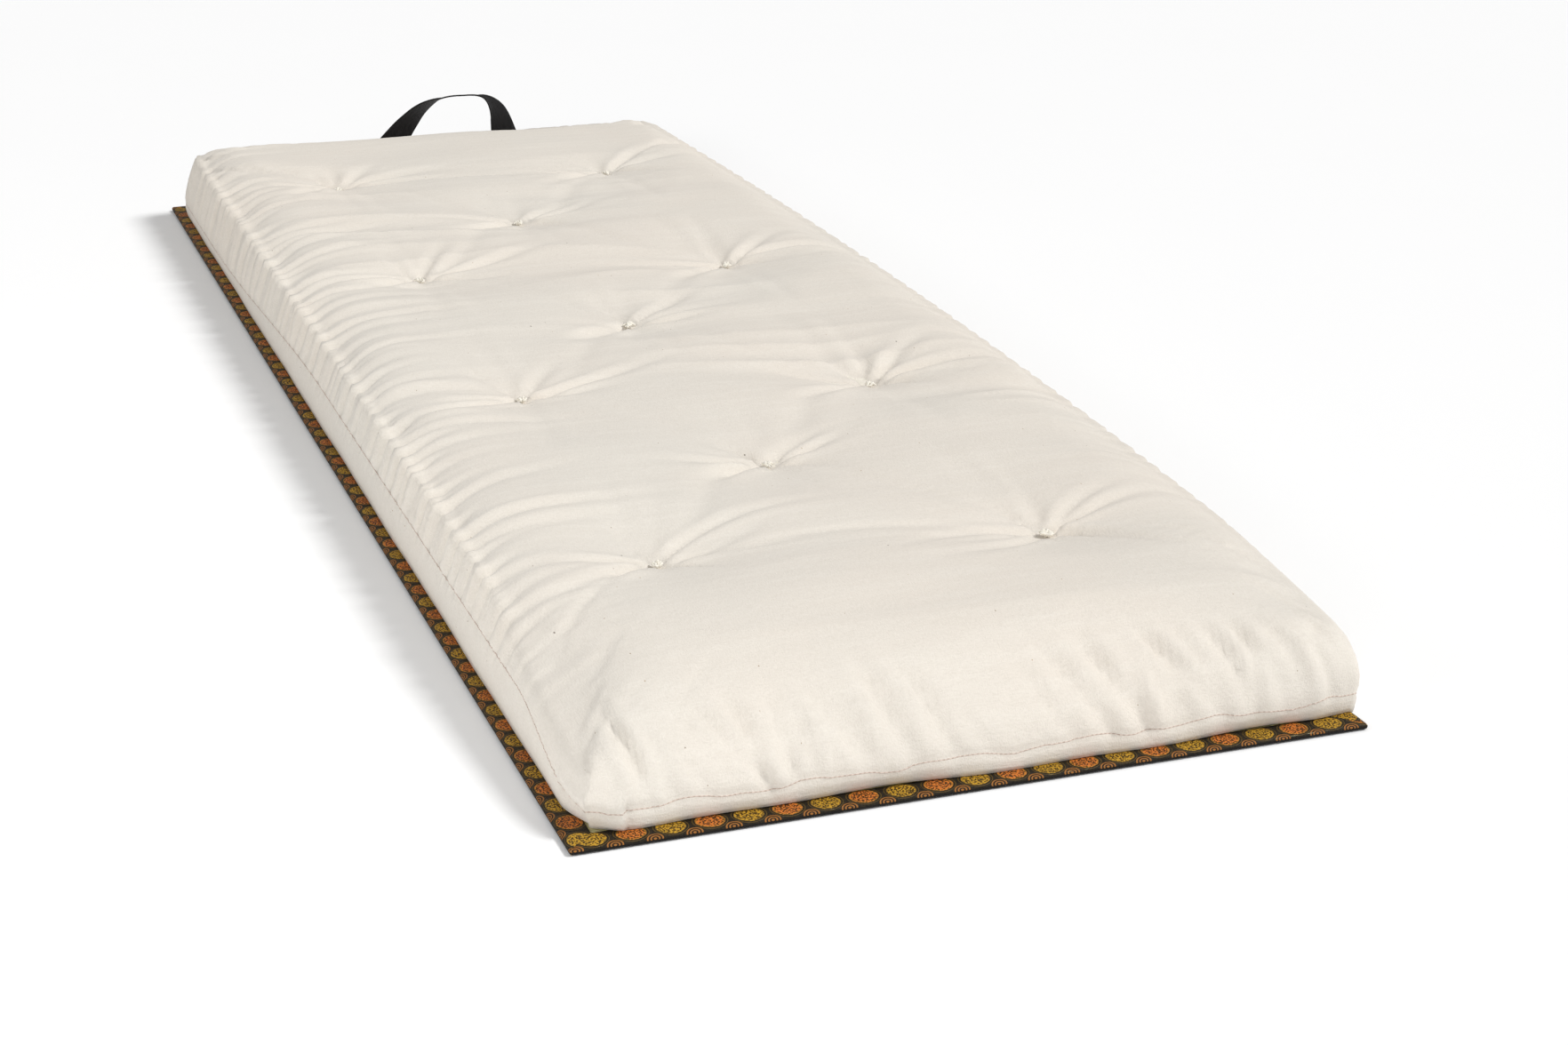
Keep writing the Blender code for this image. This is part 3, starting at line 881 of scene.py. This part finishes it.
def edge_pleats(grid, points, random):
    """Pleats gathered over the top edge of both long sides, down to the seam: deep ones and fine ones."""
    lift = np.zeros(len(points))
    inward = from_side(grid.u, grid.v)
    for side in (-1, 1):
        here = (np.sign(grid.u) == side) & (inward < PLEAT_BAND) & ((grid.level == 0) | grid.on_side)
        chosen = np.nonzero(here)[0]
        x_in, y, level = inward[here], points[here, 1], grid.level[here]
        for pitch, widths, depths, reaches, on_right in PLEATS:
            place = -HALF_LENGTH
            while place < HALF_LENGTH:
                place += random.uniform(*pitch)
                width, depth = random.uniform(*widths), random.uniform(*depths)
                reach = random.uniform(*reaches)
                slant = random.normal(PLEAT_SLANT, 0.06)
                offset = y - place - slant * x_in - random.normal(0, 0.002) * level
                near = np.abs(offset) < PLEAT_SPREAD
                fade = PLEAT_ON_TOP + (1 - PLEAT_ON_TOP) * np.exp(-x_in[near] / 0.012)
                fade = fade * bell(x_in[near], reach)
                share = np.where(level[near] > 0, 0.4 + 0.6 * clamp(1 - level[near]) ** 0.7, fade)
                share *= level[near] < 0.999
                share *= 1.0 if side < 0 else on_right
                share *= smooth((HALF_LENGTH - place) / 0.22) * smooth((HALF_LENGTH + place - 0.05) / 0.42)
                spread = width * (1 + 4 * x_in[near])
                lift[chosen[near]] += depth * share * valley(offset[near], spread, 0.22, 0.62)
    return np.maximum(lift, PLEAT_FLOOR)


def tuft_creases(grid, points, random):
    """Creases that run out from each tuft: most to both sides, some away, a few short ones."""
    lift = np.zeros(len(points))
    top = np.nonzero(grid.level == 0)[0]
    x, y = points[top, 0], points[top, 1]
    for centre in TUFTS:
        for angle, length, depth in TUFT_FAN:
            turn = math.radians(random.normal(angle, 7))
            length = length * random.uniform(0.7, 1.3)
            depth = depth * random.uniform(0.80, 1.30)
            bend = random.normal(0, 0.25)
            along = (x - centre.x) * math.cos(turn) + (y - centre.y) * math.sin(turn)
            across = (y - centre.y) * math.cos(turn) - (x - centre.x) * math.sin(turn)
            across = across + bend * along**2 / length
            near = (along > -0.01) & (along < length) & (np.abs(across) < 0.07)
            run = along[near] / length
            width = 0.0028 + 0.011 * clamp(run)
            fade = smooth((along[near] - 0.002) / 0.014) * (1 - clamp(run)) ** 1.3
            lift[top[near]] += depth * fade * valley(across[near], width)
    return lift


def smooth_noise(random, shape, cell, spread):
    """Even random noise blurred by spread, in metres, along each axis, with unit strength."""
    noise = np.fft.rfft2(random.standard_normal(shape))
    first = np.fft.fftfreq(shape[0], cell[0])[:, None]
    second = np.fft.rfftfreq(shape[1], cell[1])[None, :]
    keep = np.exp(-2 * math.pi**2 * ((first * spread[0]) ** 2 + (second * spread[1]) ** 2))
    blurred = np.fft.irfft2(noise * keep, s=shape)
    return blurred / blurred.std()


def cross_folds(grid, random):
    """Long soft folds across the width, and a fainter unevenness everywhere."""
    shape = (grid.cells_u + 1, grid.cells_v + 1)
    cell = (END_WIDTH / grid.cells_u, LENGTH / grid.cells_v)
    long_folds = smooth_noise(random, shape, cell, (0.100, 0.022))
    broad = smooth_noise(random, shape, cell, (0.06, 0.035))
    patches = clamp(0.5 + 0.6 * smooth_noise(random, shape, cell, (0.10, 0.12)))
    folded = 0.8 - np.abs(long_folds)
    edge = rim_rise(grid.u[: grid.top_count], grid.v[: grid.top_count], 0.05).reshape(shape)
    lift = np.zeros(len(grid.u))
    lift[: grid.top_count] = (edge * (FOLD_DEPTH * patches * folded + BROAD_DEPTH * broad)).ravel()
    return lift


def end_wrinkles(grid, points, random):
    """Soft upright wrinkles on the two ends, closest together towards the corners."""
    lift = np.zeros(len(points))
    inward = from_end(grid.v)
    for end in (-1, 1):
        here = (np.sign(grid.v) == end) & (inward < END_WRINKLE_BAND) & ((grid.level == 0) | grid.on_end)
        chosen = np.nonzero(here)[0]
        x, d, level = points[here, 0], inward[here], grid.level[here]
        corner = smooth((from_side(grid.u[here], grid.v[here]) - 0.008) / 0.035)
        for number in range(END_WRINKLES):
            share = (number + random.uniform(0.2, 0.8)) / END_WRINKLES
            place = (-1) ** number * (0.90 - 0.82 * share**1.4) * END_WIDTH / 2
            depth = END_WRINKLE_DEPTH * random.uniform(0.3, 1.0) * (1.0 if end < 0 else FAR_WRINKLES)
            reach = random.uniform(0.02, 0.05)
            width = random.uniform(0.0050, 0.0085)
            slant = random.normal(-0.40, 0.22)
            offset = x - place - slant * (d - 0.03 * np.minimum(level, 1.0))
            fade = np.where(level > 0, 0.25 + 0.75 * clamp(1 - level), bell(d, reach))
            fade = fade * clamp(2 - level) * corner
            lift[chosen] += depth * fade * valley(offset, width) * (np.abs(offset) < END_WRINKLE_SPREAD)
    return np.clip(lift, *END_WRINKLE_RANGE)


def rim_run(grid, points):
    """Metres along the rim, near enough, for the side points."""
    return np.where(grid.on_side, points[:, 1], points[:, 0])


def seam_puckers(grid, points):
    """Small puckers on both sides of the seam, and the groove that it lies in."""
    run = rim_run(grid, points)
    near = bell(grid.level - 1, 0.35) * (grid.level > 0)
    wander = np.sin(run * 23.0) + np.sin(run * 41.0 + 1.3)
    puckers = np.sin(run * 2 * math.pi / PUCKER_PITCH + 2 * wander) * (0.6 + 0.4 * np.sin(run * 31.0))
    groove = bell(grid.level - 1, 0.10) * (grid.level > 0)
    return PUCKER_DEPTH * near * puckers - SEAM_GROOVE * groove


def corner_tuck(grid, points):
    """At the near left corner the upper cloth folds out over the strip below the seam."""
    from_corner = points[:, 1] + HALF_LENGTH
    left = (grid.u < -AT_RIM) & (grid.level > 0)
    reach = smooth(from_corner / 0.012) * (1 - smooth((from_corner - 0.025) / 0.045))
    above = bell(grid.level - 0.86, 0.20) * (grid.level < 0.99)
    below = smooth((grid.level - 0.98) / 0.25) * clamp((2.0 - grid.level) / 0.7)
    return TUCK_DEPTH * left * reach * (0.3 * above - below)


def near_corners(grid, points):
    """The near left corner is drawn in at its foot, which shows the mat, and the near right one is full."""
    from_left = np.hypot(points[:, 0] - points[:, 0].min(), points[:, 1] + HALF_LENGTH)
    from_right = np.hypot(points[:, 0] - NEAR_RIGHT_X, points[:, 1] + HALF_LENGTH)
    foot = bell(from_left, 0.03) * clamp(grid.level - 1)
    full = bell(from_right, 0.07) * bell(grid.level - 0.45, 0.45) * smooth(grid.level / 0.4)
    return CORNER_FULL * full - CORNER_DRAWN * foot


def front_tuck(grid, points):
    """A short upright tuck on the near end, where the cloth laps over itself below the seam."""
    offset = points[:, 0] - FRONT_TUCK_X
    lap = np.where(offset < 0, np.exp(offset / 0.012), -0.4 * np.exp(-offset / 0.010))
    reach = smooth((grid.level - 0.45) / 0.4) * clamp((2.1 - grid.level) / 0.4)
    return FRONT_TUCK * lap * reach * (grid.v < -AT_RIM)


def low_wave(grid, points):
    """The lower strip swings in and out a little along its run."""
    run = rim_run(grid, points)
    wave = 0.6 * np.sin(run * 17.0 + 0.6) + 0.4 * np.sin(run * 39.0 + 2.0)
    at_end = np.where(grid.on_end, 1.0, 0.15)
    return LOW_WAVE * at_end * wave * clamp(grid.level - 1) * (grid.level > 1)


def folded_cover(fine):
    """The cover's points, with its folds."""
    base = soften(fine, fine.base_points(), 0.5 * near_roll(fine.u, fine.v) * (fine.level < 0.7), 30)
    points = base.copy()
    coarse = CoverGrid(CLOTH_CELLS_U, CLOTH_CELLS_V, *CLOTH_ROWS)
    moved = carry(coarse, fine, simulate_cover(coarse)) * CLOTH_SHARE
    out = outward(fine, base)
    sunk = np.minimum(0.0, (moved * out).sum(1) + CLOTH_SINK)
    points = points + moved - sunk[:, None] * out
    random = np.random.default_rng(FOLD_SEED)
    lift = edge_pleats(fine, base, random) + tuft_creases(fine, base, random)
    lift += cross_folds(fine, random) + end_wrinkles(fine, base, random)
    lift += seam_puckers(fine, base) + corner_tuck(fine, base) + near_corners(fine, base)
    lift += front_tuck(fine, base) + low_wave(fine, base)
    return points + outward(fine, points) * lift[:, None]


# ---- the mattress's pieces


def place_piece(item, body, slot, *nodes):
    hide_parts(*nodes)
    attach(item, body)


def build_cover(grid, points):
    cover = closed_cover(grid, points)
    place_piece(cover, PAD_BODY, "cotton_cover", "casing_top", "casing_bottom")


def build_seam(grid, points):
    """The stitched roll of cloth along the seam."""
    path = points[grid.rings[SIDE_ROWS_ABOVE]]
    shape, faces = sweep(round_sections(path, SEAM_RADIUS, SEAM_SIDES, ring=True), ring=True)
    along = np.repeat(lengths_along(path), SEAM_SIDES)
    seam = mesh_object("cover_seam", shape, faces, seam_look(), np.stack([along, 0 * along], axis=1))
    place_piece(seam, PAD_BODY, "cotton_seam", "perimeter_seam")


def filling_shape(low, high):
    """A layer of the filling between two shares of the mattress's height."""
    u, v = np.meshgrid(*(np.linspace(-1, 1, cells + 1) for cells in FILLING_CELLS), indexing="ij")
    x, y = plan_points(u, v, 0.0)
    top = top_height(u, v, x, y) - FILLING_TOP_GAP
    bottom = REST_Z + FILLING_BOTTOM_GAP + BOTTOM_TUFT_LIFT * tuft_pull(x, y)
    points = []
    for share in (low, high):
        z = bottom + share * (top - bottom)
        px, py = plan_points(u, v, FILLING_INSET + rim_inset(np.minimum(z, EDGE_TOP)))
        points.append(np.stack([px, py, z], axis=-1).reshape(-1, 3))
    return np.concatenate(points), slab_faces(u.shape)


def build_fillings():
    looks = {"cotton_batting": batting_look(), "foam": foam_look()}
    base = 0.0
    for name, share in LAYERS:
        slot = "foam" if name == "foam_core" else "cotton_batting"
        shape, faces = filling_shape(base + LAYER_GAP, base + share - LAYER_GAP)
        base += share
        layer = mesh_object(name.replace("batting", "cotton_layer") + "_pad", shape, faces, looks[slot])
        place_piece(layer, PAD_BODY, slot, name)


def knot_path(random, centre, z, upward):
    """A little tangle of thread, pulled flat on the cloth."""
    t = np.linspace(0, 2 * math.pi, 110, endpoint=False)
    phase = random.uniform(0, 2 * math.pi, 3)
    reach = KNOT_REACH * random.uniform(0.85, 1.1)
    x = reach * (0.62 * np.cos(2 * t + phase[0]) + 0.34 * np.cos(5 * t + phase[1]))
    y = 1.1 * reach * (0.62 * np.sin(3 * t + phase[2]) + 0.30 * np.sin(5 * t))
    height = 0.0012 + 0.0022 * (1 + np.sin(7 * t + phase[1])) * (1 - np.hypot(x, y) / (1.4 * reach))
    return np.stack([centre.x + x, centre.y + y, z + upward * height], axis=1)


def tail_path(random, centre, z, upward):
    """A short cut end of the thread."""
    t = np.linspace(0, 1, 9)
    angle = random.uniform(0, 2 * math.pi)
    reach = KNOT_REACH * (0.2 + 1.25 * t)
    turn = angle + 0.5 * t
    height = 0.0016 + 0.0012 * np.sin(math.pi * t)
    x, y = centre.x + reach * np.cos(turn), centre.y + reach * np.sin(turn)
    return np.stack([x, y, z + upward * height], axis=1)


def build_tufts(grid, points):
    random = np.random.default_rng(KNOT_SEED)
    look = thread_look()
    top = points[: grid.top_count]
    for number, centre in enumerate(TUFTS, start=1):
        nearest = np.hypot(top[:, 0] - centre.x, top[:, 1] - centre.y).argsort()[:4]
        sides = (
            ("top", top[nearest, 2].mean() + KNOT_HEIGHT, 1.0),
            ("bottom", REST_Z + BOTTOM_TUFT_LIFT - 0.001, -1.0),
        )
        for side, z, upward in sides:
            knot, tail = knot_path(random, centre, z, upward), tail_path(random, centre, z, upward)
            knot, faces = sweep(round_sections(knot, THREAD_RADIUS, THREAD_SIDES, ring=True), ring=True)
            tail, tail_faces = sweep(round_sections(tail, THREAD_RADIUS * TAIL_SHARE, TAIL_SIDES))
            faces += [[corner + len(knot) for corner in corners] for corners in tail_faces]
            item = mesh_object(f"tuft_knot_{side}_{number:02d}", np.concatenate([knot, tail]), faces, look)
            place_piece(item, PAD_BODY, "tuft_thread", f"tuft_{side}_{number:02d}")
        dress(f"tuft_cord_{number:02d}", look)


def dress(node, look):
    """Gives a CAD node a procedural material."""
    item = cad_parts[node]
    for slot in item.material_slots:
        slot.material = look


# ---- the handle


def strap_path():
    """The strap's middle line from one sewn foot, over the arch, to the other."""
    def foot(x, z):
        end = CENTRE_Y + HALF_LENGTH - float(rim_inset(np.array(z)))
        return (x, end + STRAP_THICKNESS / 2 + 0.0006, z)

    left = [foot(ARCH[0][0], z) for z in FOOT_Z]
    right = [foot(ARCH[-1][0], z) for z in reversed(FOOT_Z)]
    marks = np.array(left + [(x, HINGE_Y, z) for x, z in ARCH] + right)
    weights = spline_weights(len(marks), STRAP_POINTS)
    share = np.linspace(0, len(marks) - 1, STRAP_POINTS)
    first, last = len(left), len(left) + len(ARCH) - 1
    return weights @ marks, clamp((share - first) / (last - first))


def strap_sides(path, share):
    """The direction across the strap: flat at its feet and edge-on over the top."""
    ahead = unit(np.gradient(path, axis=0))
    from_foot = clamp(np.minimum(share / TWIST_LEFT, (1 - share) / TWIST_RIGHT))[:, None]
    in_plane = unit(np.stack([ahead[:, 2], 0 * ahead[:, 0], -ahead[:, 0]], axis=1))
    in_plane = np.where(in_plane[:, :1] < 0, -in_plane, in_plane)
    lean = smooth(3 * from_foot)
    flat = unit(in_plane * lean + np.array([1.0, 0.0, 0.0]) * (1 - lean))
    turn = from_foot**0.85 * math.pi / 2
    side = flat * np.cos(turn) + EDGE_ON * np.sin(turn)
    side = side - (side * ahead).sum(1, keepdims=True) * ahead
    return unit(side), ahead


def strap_outline():
    """The webbing in section, across it and through it: flat, with soft edges."""
    corner = np.array([(-0.5, -0.22), (-0.485, -0.45), (-0.44, -0.5), (-0.15, -0.5)])
    lower = np.concatenate([corner, corner[::-1] * (-1, 1)])
    return np.roll(np.concatenate([lower, -lower]), 1, axis=0) * (STRAP_WIDTH, STRAP_THICKNESS)


def build_handle():
    path, share = strap_path()
    side, ahead = strap_sides(path, share)
    face = unit(np.cross(ahead, side))
    across, through = strap_outline().T
    sections = path[:, None] + side[:, None] * across[None, :, None]
    shape, faces = sweep(sections + face[:, None] * through[None, :, None])
    along = np.repeat(lengths_along(path), len(across))
    runs = np.stack([along, np.tile(across, len(path))], axis=1)
    strap = mesh_object("handle_strap", shape, faces, webbing_look(), runs)
    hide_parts("handle_tab_left", "handle_tab_right", "handle_loop")
    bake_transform(strap)


# ---- the mat


def laid_sheet(name, node, cells, swell, look):
    """A thin closed sheet as big as a CAD node, a little uneven."""
    low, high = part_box(node)
    x_line, y_line = np.linspace(low.x, high.x, cells[0] + 1), np.linspace(low.y, high.y, cells[1] + 1)
    x, y = np.meshgrid(x_line, y_line, indexing="ij")
    wave = np.sin(x * 31.0 + np.sin(y * 9.0)) * np.sin(y * 23.0 + np.sin(x * 13.0))
    ribs = np.sin(x * 2 * math.pi / RIB_PITCH)
    layers = [low.z + 0.00005 + swell * 0.2 * wave, high.z + swell * (wave + 0.6 * ribs)]
    points = np.concatenate([np.stack([x, y, z], axis=-1).reshape(-1, 3) for z in layers])
    return mesh_object(name, points, slab_faces(x.shape), look)


def half_oval(middle, reach):
    """Points round a fold, from its top to its foot, as depth and height."""
    angle = np.linspace(math.pi / 2, -math.pi / 2, 9)
    return np.stack([middle[0] - reach[0] * np.cos(angle), middle[1] + reach[1] * np.sin(angle)], axis=1)


def tape_outline():
    """The folded tape in section: outside from its top edge round to its foot, and back inside."""
    outer = half_oval((0.0044, 0.00305), (0.0044, 0.00305))
    inner = half_oval((0.0047, 0.00310), (0.0039, 0.00220))
    top_face = [(0.0230, 0.00585), (0.0215, 0.00610), (0.0170, 0.00618), (0.0100, 0.00618)]
    foot = [(0.0120, 0.00000), (0.0230, 0.00000), (0.0230, 0.00080), (0.0120, 0.00085)]
    top_back = [(0.0100, 0.00540), (0.0170, 0.00540), (0.0215, 0.00535), (0.0230, 0.00525)]
    return np.concatenate([top_face, outer, foot, inner[::-1], top_back])


def tape_marks(length):
    """Places along a tape, close together where its corners turn."""
    corner = np.arange(0.0, TAPE_CORNER + 0.001, 0.0005)
    middle = np.linspace(TAPE_CORNER + 0.002, length - TAPE_CORNER - 0.002, int(length / 0.007))
    return np.concatenate([corner, middle, length - corner[::-1]])


def rounded_corner(along, inward):
    """Turns the square outer corner at (0, 0) round."""
    a, b = TAPE_CORNER - along, TAPE_CORNER - inward
    inside = (a > 0) & (b > 0)
    shrink = np.where(inside, np.maximum(a, b) / np.maximum(np.hypot(a, b), 1e-9), 1.0)
    return np.where(inside, TAPE_CORNER - a * shrink, along), np.where(inside, TAPE_CORNER - b * shrink, inward)


def tape_shape(start, ahead, inward, length):
    """One side's tape, folded round the mat's edge, with mitred ends."""
    depth, height = tape_outline().T
    marks = tape_marks(length)[:, None]
    share = marks / length
    along = MITRE_GAP + depth + share * (length - 2 * depth - 2 * MITRE_GAP)
    deep = depth + 0 * along
    first, deep_first = rounded_corner(along, deep)
    last, deep_last = rounded_corner(length - along, deep)
    near_start = share < 0.5
    moved = np.where(near_start, first, length - last)
    pulled = np.where(near_start, deep_first, deep_last)
    flat = start + moved[..., None] * ahead + pulled[..., None] * inward
    sections = np.concatenate([flat, (height + 0 * along)[..., None]], axis=-1)
    shape, faces = sweep(sections)
    folded = depth * (height > 0.003) - np.clip(0.0058 - height, 0.0, None)
    reach = np.where(height > 0.0009, folded, -0.006 - depth)
    return shape, faces, np.stack([along.ravel(), (reach + 0 * along).ravel()], axis=1)


def build_tapes():
    low, high = np.array(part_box("border_left")[0]), np.array(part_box("border_right")[1])
    x0, y0 = low[0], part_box("border_near")[0].y
    x1, y1 = high[0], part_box("border_far")[1].y
    sides = {
        "border_near": ((x0, y0), (1, 0), (0, 1), x1 - x0),
        "border_right": ((x1, y0), (0, 1), (-1, 0), y1 - y0),
        "border_far": ((x1, y1), (-1, 0), (0, -1), x1 - x0),
        "border_left": ((x0, y1), (0, -1), (1, 0), y1 - y0),
    }
    look = brocade_look()
    tapes = []
    for name, (*vectors, length) in sides.items():
        shape, faces, runs = tape_shape(*np.array(vectors, dtype=float), length)
        tape = mesh_object(name.replace("border", "brocade_tape"), shape, faces, look, runs)
        place_piece(tape, MAT_BODY, "brocade_tape", name)
        tapes.append(tape)
    return tapes


def build_mat():
    tapes = build_tapes()
    rush = laid_sheet("rush_surface", "rush_facing", (220, 90), 0.00022, rush_look())
    place_piece(rush, MAT_BODY, "rush", "rush_facing")
    backing = laid_sheet("backing_cloth", "mat_backing", (60, 120), 0.00008, backing_look())
    place_piece(backing, MAT_BODY, "mat_backing_cloth", "mat_backing")
    dress("mat_core", fibre_look())


# ---- the studio


def place_camera():
    """The camera, set from the near left corner of the mat."""
    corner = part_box("border_left")[0].x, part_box("border_near")[0].y
    data = bpy.data.cameras.new("camera")
    data.lens = LENS
    data.sensor_width = SENSOR_WIDTH
    data.clip_end = 50.0
    camera = link_object("camera", data)
    camera.location = Vector((corner[0], corner[1], 0.0)) + CAMERA_FROM_CORNER
    camera.rotation_euler = (math.radians(90 - CAMERA_DOWN), 0.0, math.radians(-CAMERA_TURN))
    bpy.context.scene.camera = camera


def add_lamp(name, kind, place, aim, power):
    """A lamp at a place, shining along aim."""
    data = bpy.data.lights.new(name, kind)
    data.energy = power
    lamp = link_object(name, data)
    lamp.location = place
    lamp.rotation_euler = Vector(aim).to_track_quat("-Z", "Y").to_euler()
    return lamp


def soft_light(name, towards, strength, spread):
    """A broad even light from one direction, spread over so many degrees."""
    towards = Vector(towards)
    add_lamp(name, "SUN", 5.0 * towards, -towards, strength).data.angle = math.radians(spread)


def side_light():
    """A wide lamp beside the near left corner, which lights the near end of the left side most."""
    lamp = add_lamp("side", "AREA", SIDE_LAMP_PLACE, SIDE_LAMP_AIM, SIDE_LAMP_POWER)
    lamp.data.size = SIDE_LAMP_SIZE
    lamp.visible_camera = False


def build_studio():
    bpy.context.scene.view_settings.view_transform = "Standard"
    world = bpy.data.worlds.new("studio")
    world.use_nodes = True
    background = world.node_tree.nodes["Background"]
    background.inputs["Color"].default_value = (1.0, 1.0, 1.0, 1.0)
    background.inputs["Strength"].default_value = WORLD_STRENGTH
    bpy.context.scene.world = world
    soft_light("key", *KEY)
    soft_light("fill", *FILL)
    side_light()
    bpy.ops.mesh.primitive_plane_add(size=FLOOR_SIZE)
    floor = bpy.context.object
    floor.name = "floor"
    paint = Look("floor", 0.9)
    floor.data.materials.append(paint.finish(paint.mix(paint.noise(3.0), (254, 254, 254), (255, 255, 255))))


def main():
    place_camera()
    build_studio()
    grid = CoverGrid(CELLS_U, CELLS_V, SIDE_ROWS_ABOVE, SIDE_ROWS_BELOW)
    points = folded_cover(grid)
    build_cover(grid, points)
    build_seam(grid, points)
    build_fillings()
    build_tufts(grid, points)
    build_handle()
    build_mat()


main()
